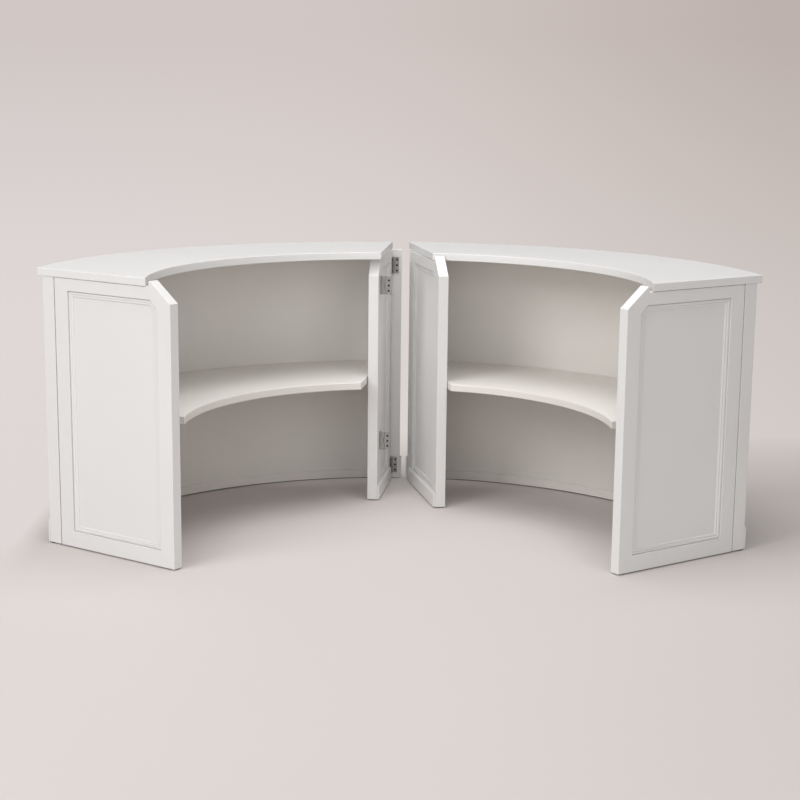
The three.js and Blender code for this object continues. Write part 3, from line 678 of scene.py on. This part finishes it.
for side, hand in HANDS.items():
    for kind in ("outer", "centre"):
        wing = f"{side}_{kind}_wing"
        pin, heading, begin, end, show, sink = wing_plan(side, kind)
        back = show + sink * WING_THICKNESS
        bottom = heights(f"{wing}_frame")[0]
        underside = heights(f"{side}_counter_top")[0]
        outline = wing_outline(side, kind, begin, end, bottom, underside)
        recess_top = underside - WING_TOP_CLEARANCE - HEAD_RAIL_HEIGHT
        recess = (begin + STILE_WIDTH, end - STILE_WIDTH, bottom + FOOT_RAIL_HEIGHT, recess_top)
        opening = paired_opening(outline, recess)
        outside = [level(outline, show), level(outline, back)]
        timber = skinned([*outside, level(opening, back), level(opening, show)])
        placed(
            f"{wing}_stiles_and_rails", stood(eased(timber, WING_EASING), pin, heading), hand, wing,
            "white_paint", satin_white, f"{wing}_frame")
        corners = level(clipped(*recess, FIT_GAP), show + sink * RECESS_DEPTH)
        panel = eased(drawn_out(corners, (0, sink * PANEL_THICKNESS, 0)), PANEL_EASING)
        placed(
            f"{wing}_flat_panel", stood(panel, pin, heading), hand, wing, "white_paint", satin_white,
            f"{wing}_panel")
        loops = [level(clipped(*recess, inset), show + sink * depth) for inset, depth in MOULDING_PROFILE]
        placed(
            f"{wing}_stepped_moulding", stood(skinned(loops), pin, heading), hand, wing, "white_paint",
            satin_white, f"{wing}_moulding")
        glide = round_bar(GLIDE_RADIUS, *heights(f"{wing}_glide"), GLIDE_SIDES, FOOT_EASING)
        glide_place = (end - GLIDE_END_DISTANCE, (show + back) / 2, 0)
        bmesh.ops.translate(glide, verts=glide.verts, vec=glide_place)
        placed(
            f"{wing}_nylon_glide", stood(glide, pin, heading), hand, wing, "foot_nylon", foot_nylon,
            f"{wing}_glide")


# Plinth boards. A painted board with a chamfered top edge is planted along the foot of each centre wing's
# show face. It stops short of the hinge and of the free edge.
PLINTH_THICKNESS = 0.0075
PLINTH_HINGE_DISTANCE = 0.028
PLINTH_EDGE_DISTANCE = 0.006

for side, hand in HANDS.items():
    wing = f"{side}_centre_wing"
    pin, heading, begin, end, show, sink = wing_plan(side, "centre")
    back = show - sink * FIT_GAP
    profile = moulded_edge(back, back - sink * PLINTH_THICKNESS, *heights(f"{wing}_plinth"))
    first = begin + PLINTH_HINGE_DISTANCE
    last = end - PLINTH_EDGE_DISTANCE
    board = drawn_out([(first, depth, height) for depth, height in profile], ACROSS * (last - first))
    placed(
        f"{wing}_plinth_board", stood(eased(board, SKIRTING_EASING), pin, heading), hand, wing,
        "white_paint", satin_white, f"{wing}_plinth")


# Hinges. Each leaf is brushed sheet steel with its knuckles rolled round the pin, held to a post or a wing
# by blackened screws. The outer hinges are continuous with a loose headed pin, and the centre hinges are
# short butts with the pin riveted into the post's leaf.
KNUCKLE_RADIUS = 0.0045
KNUCKLE_PLAY = 0.0004
LEAF_THICKNESS = 0.002
LEAF_WIDTH = 0.020
ROLL_ANGLE = math.radians(295)
ROLL_STEPS = 24
PIN_RADIUS = 0.0022
PIN_SIDES = 24
PIN_RIVET = 0.0006
PIN_HEAD_RADIUS = 0.0038
PIN_HEAD_HEIGHT = 0.002
PIN_EASING = 0.0003
KNUCKLE_COUNTS = {"outer": 5, "centre": 3}
SCREW_PLACE = 0.0155
SCREW_POINTS = 16
SCREW_RINGS = [(0.0046, 0), (0.0046, 0.00025), (0.0034, 0.00075)]
SCREW_CROSS = [0.0021, 0.0010, 0.0007, 0.0010]
SCREW_CROSS_TOP = 0.0009
SCREW_CROSS_FLOOR = 0.0002
SCREW_COUNTS = {"outer": 9, "centre": 3}
SCREW_END_DISTANCE = 0.012
POST_KNUCKLE = 0
WING_KNUCKLE = 1
CENTRE_POST_HEADINGS = {"left": math.pi, "right": 0}
CENTRE_POST_BACKS = {"left": -1, "right": 1}
STEEL_STREAKS = {"scale": 40, "detail": 4, "stretch": (12, 12, 1)}
STEEL_SHEEN = {"scale": 90, "detail": 3, "stretch": (20, 20, 1)}
STEEL_LINES = {"scale": 300, "detail": 2, "stretch": (16, 16, 0.5)}
STEEL_LINE_HEIGHT = 0.00005
STEEL_LINE_STRENGTH = 0.3
STEEL_ROUGHNESS = (0.28, 0.46)
BRUSHED_TONES = ((0.28, 0.276, 0.268), (0.50, 0.492, 0.478))
BLACKENED_TONES = ((0.022, 0.021, 0.020), (0.05, 0.048, 0.045))

leaf_face = KNUCKLE_RADIUS - LEAF_THICKNESS


def brushed_steel(name, tones):
    """Brushed steel: fine lines along the leaf and an uneven gloss."""
    steel = bpy.data.materials.new(name)
    steel.use_nodes = True
    steel.node_tree.nodes["Principled BSDF"].inputs["Metallic"].default_value = 1
    toned(steel, noise(steel, **STEEL_STREAKS), *tones)
    polished(steel, noise(steel, **STEEL_SHEEN), *STEEL_ROUGHNESS)
    dimpled(steel, noise(steel, **STEEL_LINES), STEEL_LINE_HEIGHT, STEEL_LINE_STRENGTH)
    return steel


def rolled_leaf(length, count, first, width, back):
    """A leaf about the Z axis: its plate along +X with its back to -Y or +Y, its tongues rolled round."""
    play = KNUCKLE_PLAY if first == WING_KNUCKLE else 0
    start = KNUCKLE_RADIUS + KNUCKLE_PLAY
    pitch = length / count
    edge = [(start, length / 2)]
    for place in reversed(range(first, count, 2)):
        low = place * pitch - length / 2 + play
        high = (place + 1) * pitch - length / 2 - play
        edge += [(start, high), (0, high), (0, low), (start, low)]
    edge += [(start, -length / 2)]
    outline = [(KNUCKLE_RADIUS + width, -length / 2), (KNUCKLE_RADIUS + width, length / 2)]
    for point in edge:
        if point not in outline:
            outline.append(point)
    leaf = drawn_out(level(outline, back * leaf_face), (0, back * LEAF_THICKNESS, 0))
    tips = [face for face in leaf.faces if all(abs(vert.co.x) < SAW_TOLERANCE for vert in face.verts)]
    for tip in tips:
        rim, corners = list(tip.edges), list(tip.verts)
        bmesh.ops.delete(leaf, geom=[tip], context="FACES_ONLY")
        roll = bmesh.ops.spin(
            leaf, geom=[*rim, *corners], cent=(0, 0, 0), axis=UP * back, angle=ROLL_ANGLE, steps=ROLL_STEPS)
        last = [part for part in roll["geom_last"] if isinstance(part, bmesh.types.BMEdge)]
        bmesh.ops.edgeloop_fill(leaf, edges=last)
    return leaf


def riveted_pin(length):
    """A pin through the knuckles, its ends burred over."""
    end = length / 2 + PIN_RIVET
    return round_bar(PIN_RADIUS, -end, end, PIN_SIDES, PIN_EASING)


def screw_head(place, turn=0):
    """A pan-head screw with a cross recess, standing out towards -Y and then turned about Z."""
    ring = [math.tau * point / SCREW_POINTS for point in range(SCREW_POINTS)]
    cross = [SCREW_CROSS[point % len(SCREW_CROSS)] for point in range(SCREW_POINTS)]
    rounds = [([radius] * SCREW_POINTS, height) for radius, height in SCREW_RINGS]
    rounds += [(cross, SCREW_CROSS_TOP), (cross, SCREW_CROSS_FLOOR)]
    loops = []
    for radii, height in rounds:
        loops.append([(math.cos(a) * r, -height, math.sin(a) * r) for a, r in zip(ring, radii)])
    return stood(skinned(loops, ring=False), Vector(place), turn)


def screws(length, count, back):
    """A row of screw heads along the outer side of a leaf's plate."""
    pitch = (length - 2 * SCREW_END_DISTANCE) / (count - 1)
    turn = 0 if back > 0 else math.pi
    row = [SCREW_END_DISTANCE - length / 2 + place * pitch for place in range(count)]
    return joined(*[screw_head((SCREW_PLACE, back * leaf_face, height), turn) for height in row])


def length_and_middle(node):
    bottom, top = heights(node)
    return top - bottom, (top + bottom) / 2


hinge_steel = brushed_steel("brushed_steel", BRUSHED_TONES)
screw_steel = brushed_steel("blackened_steel", BLACKENED_TONES)
for side, hand in HANDS.items():
    for kind, place in (("outer", "outer"), ("centre", "centre_lower"), ("centre", "centre_upper")):
        hinge = f"{side}_{place}_hinge"
        pin, wing_heading = wing_plan(side, kind)[:2]
        length, middle = length_and_middle(f"{hinge}_wing_leaf")
        if kind == "outer":
            post_heading, post_back = wing_heading + math.pi, -1
        else:
            post_heading, post_back = CENTRE_POST_HEADINGS[side], CENTRE_POST_BACKS[side]
        post_leaf = rolled_leaf(length, KNUCKLE_COUNTS[kind], POST_KNUCKLE, LEAF_WIDTH, post_back)
        if kind == "centre":
            post_leaf = joined(post_leaf, riveted_pin(length))
        wing_leaf = rolled_leaf(length, KNUCKLE_COUNTS[kind], WING_KNUCKLE, LEAF_WIDTH, -post_back)
        leaves = (
            ("post", post_leaf, post_heading, post_back, f"{side}_section"),
            ("wing", wing_leaf, wing_heading, -post_back, f"{side}_{kind}_wing"))
        for part, leaf, heading, back, body in leaves:
            placed(
                f"{hinge}_rolled_{part}_leaf", stood(leaf, pin, heading, middle), hand, body, "hinge_steel",
                hinge_steel, f"{hinge}_{part}_leaf")
            row = screws(length, SCREW_COUNTS[kind], back)
            placed(
                f"{hinge}_{part}_screws", stood(row, pin, heading, middle), hand, body, "hinge_steel",
                screw_steel)
        if kind == "outer":
            neck = length / 2 + KNUCKLE_PLAY
            shank = round_bar(PIN_RADIUS, -length / 2, neck, PIN_SIDES, PIN_EASING)
            head = round_bar(PIN_HEAD_RADIUS, neck, neck + PIN_HEAD_HEIGHT, PIN_SIDES, PIN_EASING)
            placed(
                f"{hinge}_headed_pin", stood(joined(shank, head), pin, wing_heading, middle), hand,
                f"{side}_section", "hinge_steel", hinge_steel, f"{hinge}_pin")


# Links. Two swinging leaves on the left centre wing tie the halves together, each with three dark bolts.
# Each hangs on a bracket of bent sheet steel, screwed to the wing's show face, with the pin riveted into
# the bracket's knuckles.
LINK_KNUCKLES = 3
LINK_FLANGE = 0.015
LINK_BASE_WIDTH = 0.034
LINK_LEAF_WIDTH = 0.022
BEND_RADIUS = 0.001
BEND_STEPS = 6
LINK_SCREW_PLACE = -0.016
LINK_SCREW_RISES = (-0.022, 0.022)
LINK_BOLT_RISES = (-0.022, 0, 0.022)

link_hand = HANDS["left"]
base_heading = wing_plan("left", "centre")[1]
leaf_heading = base_heading - math.pi / 2
base_back = LINK_FLANGE + KNUCKLE_RADIUS
base_front = base_back - LEAF_THICKNESS
base_end = KNUCKLE_RADIUS - LINK_BASE_WIDTH
outer_bend = BEND_RADIUS + LEAF_THICKNESS
bend_x, bend_y = KNUCKLE_RADIUS - outer_bend, base_back - outer_bend
flange_width = bend_y - KNUCKLE_RADIUS - SAW_TOLERANCE


def bend_arc(radius):
    """A quarter turn of the bracket's bend."""
    turns = [math.pi / 2 * step / BEND_STEPS for step in range(BEND_STEPS + 1)]
    return [(bend_x + radius * math.cos(turn), bend_y + radius * math.sin(turn)) for turn in turns]


base_end_face = [(base_end, base_back), (base_end, base_front)]
base_profile = [*bend_arc(outer_bend), *base_end_face, *reversed(bend_arc(BEND_RADIUS))]
for place in ("lower", "upper"):
    link = f"{place}_link"
    length, middle = length_and_middle(f"{link}_leaf")
    swing = pins[f"{link}_swing"]
    axis = Vector((link_hand * swing.x, swing.y, 0))
    base = drawn_out([(x, y, -length / 2) for x, y in base_profile], UP * length)
    flange = rolled_leaf(length, LINK_KNUCKLES, POST_KNUCKLE, flange_width, -1)
    flange = stood(flange, Vector((0, 0, 0)), math.pi / 2)
    bracket = joined(base, flange, riveted_pin(length))
    placed(
        f"{link}_bent_bracket", stood(bracket, axis, base_heading, middle), link_hand, "left_centre_wing",
        "hinge_steel", hinge_steel, f"{link}_bracket")
    heads = joined(*[screw_head((LINK_SCREW_PLACE, base_front, rise)) for rise in LINK_SCREW_RISES])
    placed(
        f"{link}_bracket_screws", stood(heads, axis, base_heading, middle), link_hand, "left_centre_wing",
        "hinge_steel", screw_steel)
    leaf = rolled_leaf(length, LINK_KNUCKLES, WING_KNUCKLE, LINK_LEAF_WIDTH, 1)
    placed(
        f"{link}_rolled_leaf", stood(leaf, axis, leaf_heading, middle), link_hand, link, "hinge_steel",
        hinge_steel, f"{link}_leaf")
    bolts = joined(*[screw_head((SCREW_PLACE, KNUCKLE_RADIUS, rise), math.pi) for rise in LINK_BOLT_RISES])
    placed(
        f"{link}_leaf_bolts", stood(bolts, axis, leaf_heading, middle), link_hand, link, "hinge_steel",
        screw_steel)


# Studio. A pale seamless sheet of paper runs under the bar and up behind it, lit softly from the upper left.
# Behind the bar, and on the floor to its left, the camera sees the sheet glow in set tones instead of lit
# paper:
# painted light, with a painted falloff that darkens upwards and to the right.
# Each lamp has its place, the side of its square and its power.
PAPER_TONES = ((0.620, 0.576, 0.560), (0.650, 0.606, 0.590))
PAPER_CLOUDS = {"scale": 0.4, "detail": 2}
PAPER_ROUGHNESS = 0.9
PAINTED_FALLOFF_TOP = [(0.630, 0.571, 0.556), (0.650, 0.579, 0.555), (0.480, 0.415, 0.385)]
PAINTED_FALLOFF_FOOT = [(0.735, 0.684, 0.684), (0.745, 0.690, 0.665), (0.580, 0.526, 0.502)]
BACKDROP_SPREAD = 3.5
BACKDROP_HEIGHT = 2.2
BACKDROP_REACH = (0.5, 1.7)
LEFT_FLOOR_GLOW_REACH = (-1.2, -0.4)
LEFT_FLOOR_GLOW_SIDE = (-1.36, -1.48)
STAGE_HALF_WIDTH = 16
STAGE_FRONT = -14
STAGE_BEND = 6.0
STAGE_BEND_RADIUS = 3
STAGE_HEIGHT = 9
STAGE_BEND_STEPS = 24
WORLD_COLOUR = (1, 0.985, 0.97, 1)
WORLD_STRENGTH = 0.21
LAMPS = {
    "key_softbox": ((-4.5, -4.5, 4.5), 3.5, 203),
    "front_softbox": ((-1.5, -7.5, 3.0), 4.0, 95),
    "overhead_softbox": ((0.0, -0.5, 5.5), 4.0, 194),
    "fill_softbox": ((3.5, -6.5, 3.5), 4.0, 74),
}
LAMP_TARGET = Vector((0, 0, 0.5))


def drawn_edge(sheet, edge, travel):
    """Draws a sheet on from one edge and gives its new edge."""
    drawn = bmesh.ops.extrude_edge_only(sheet, edges=[edge])["geom"]
    moved = [part for part in drawn if isinstance(part, bmesh.types.BMVert)]
    bmesh.ops.translate(sheet, verts=moved, vec=travel)
    edges = [part for part in drawn if isinstance(part, bmesh.types.BMEdge)]
    return next(part for part in edges if all(vert in moved for vert in part.verts))


def along(material, axis, start, end):
    """How far a point lies from start to end along one axis of the sheet, from 0 to 1."""
    nodes = material.node_tree.nodes
    place = nodes.new("ShaderNodeTexCoord")
    parted = nodes.new("ShaderNodeSeparateXYZ")
    span = nodes.new("ShaderNodeMapRange")
    span.inputs["From Min"].default_value = start
    span.inputs["From Max"].default_value = end
    material.node_tree.links.new(place.outputs["Object"], parted.inputs["Vector"])
    material.node_tree.links.new(parted.outputs[axis], span.inputs["Value"])
    return span.outputs["Result"]


def graded(material, value, tones):
    """A smooth run of tones, evenly spaced from 0 to 1."""
    ramp = material.node_tree.nodes.new("ShaderNodeValToRGB")
    ramp.color_ramp.interpolation = "B_SPLINE"
    for _ in tones[2:]:
        ramp.color_ramp.elements.new(1)
    for place, (stop, tone) in enumerate(zip(ramp.color_ramp.elements, tones)):
        stop.position = place / (len(tones) - 1)
        stop.color = (*tone, 1)
    material.node_tree.links.new(value, ramp.inputs["Fac"])
    return ramp.outputs["Color"]


def combined(material, operation, first, second):
    """One value worked out from two others."""
    step = material.node_tree.nodes.new("ShaderNodeMath")
    step.operation = operation
    for value, socket in zip((first, second), step.inputs):
        material.node_tree.links.new(value, socket)
    return step.outputs["Value"]


paper = bpy.data.materials.new("seamless_paper")
paper.use_nodes = True
toned(paper, noise(paper, **PAPER_CLOUDS), *PAPER_TONES)
nodes = paper.node_tree.nodes
links = paper.node_tree.links
lit_paper = nodes["Principled BSDF"]
lit_paper.inputs["Roughness"].default_value = PAPER_ROUGHNESS
across_sheet = along(paper, "X", -BACKDROP_SPREAD, BACKDROP_SPREAD)
tone = nodes.new("ShaderNodeMix")
tone.data_type = "RGBA"
tone_sockets = {socket.identifier: socket for socket in [*tone.inputs, *tone.outputs]}
links.new(along(paper, "Z", 0, BACKDROP_HEIGHT), tone_sockets["Factor_Float"])
links.new(graded(paper, across_sheet, PAINTED_FALLOFF_FOOT), tone_sockets["A_Color"])
links.new(graded(paper, across_sheet, PAINTED_FALLOFF_TOP), tone_sockets["B_Color"])
# The glowing paper is painted light; its colour carries the painted falloff, darker upwards and to the
# right.
glowing_paper = nodes.new("ShaderNodeEmission")
links.new(tone_sockets["Result_Color"], glowing_paper.inputs["Color"])
# On the floor just left of the bar the glow also covers the bar's shadow: painted light over the lamps'
# shade.
beside_bar = along(paper, "X", *LEFT_FLOOR_GLOW_SIDE)
left_floor_glow = combined(paper, "MULTIPLY", beside_bar, along(paper, "Y", *LEFT_FLOOR_GLOW_REACH))
glow_mask = combined(paper, "MAXIMUM", left_floor_glow, along(paper, "Y", *BACKDROP_REACH))
camera_ray = nodes.new("ShaderNodeLightPath").outputs["Is Camera Ray"]
surface = nodes.new("ShaderNodeMixShader")
glow_share, lit_socket, glow_socket = surface.inputs
links.new(combined(paper, "MULTIPLY", camera_ray, glow_mask), glow_share)
links.new(lit_paper.outputs["BSDF"], lit_socket)
links.new(glowing_paper.outputs["Emission"], glow_socket)
links.new(surface.outputs["Shader"], nodes["Material Output"].inputs["Surface"])
sheet = bmesh.new()
front_edge = [sheet.verts.new((x, STAGE_FRONT, 0)) for x in (-STAGE_HALF_WIDTH, STAGE_HALF_WIDTH)]
edge = drawn_edge(sheet, sheet.edges.new(front_edge), (0, STAGE_BEND - STAGE_FRONT, 0))
bend = bmesh.ops.spin(
    sheet, geom=[edge, *edge.verts], cent=(0, STAGE_BEND, STAGE_BEND_RADIUS), axis=ACROSS,
    angle=math.pi / 2, steps=STAGE_BEND_STEPS)["geom_last"]
edge = next(part for part in bend if isinstance(part, bmesh.types.BMEdge))
drawn_edge(sheet, edge, (0, 0, STAGE_HEIGHT))
sheet_mesh = bpy.data.meshes.new("seamless_sheet")
sheet.to_mesh(sheet_mesh)
sheet.free()
sheet_mesh.materials.append(paper)
sheet_mesh.shade_smooth()
seamless_sheet = bpy.data.objects.new("seamless_sheet", sheet_mesh)
bpy.context.collection.objects.link(seamless_sheet)

world = bpy.data.worlds.new("studio_air")
world.use_nodes = True
world.node_tree.nodes["Background"].inputs["Color"].default_value = WORLD_COLOUR
world.node_tree.nodes["Background"].inputs["Strength"].default_value = WORLD_STRENGTH
bpy.context.scene.world = world
for name, (place, size, power) in LAMPS.items():
    lamp = bpy.data.lights.new(name, "AREA")
    lamp.size = size
    lamp.energy = power
    softbox = bpy.data.objects.new(name, lamp)
    softbox.location = place
    softbox.rotation_euler = (LAMP_TARGET - softbox.location).to_track_quat("-Z", "Y").to_euler()
    bpy.context.collection.objects.link(softbox)
bpy.context.scene.view_settings.view_transform = "Standard"


# Camera. A long lens at head height on the bartender's side, tipped down and rolled a little.
# Its place, lens and angles were fitted to the photo.
CAMERA_PLACE = (0.020720, -6.513922, 1.766581)
CAMERA_LENS = 73.754
CAMERA_PITCH = 0.192230
CAMERA_YAW = -0.002337
CAMERA_ROLL = 0.010404

camera_data = bpy.data.cameras.new("camera")
camera_data.lens = CAMERA_LENS
camera = bpy.data.objects.new("camera", camera_data)
aim = Matrix.Rotation(-CAMERA_YAW, 4, "Z") @ Matrix.Rotation(math.pi / 2 - CAMERA_PITCH, 4, "X")
camera.matrix_world = Matrix.Translation(CAMERA_PLACE) @ aim @ Matrix.Rotation(CAMERA_ROLL, 4, "Z")
bpy.context.collection.objects.link(camera)
bpy.context.scene.camera = camera
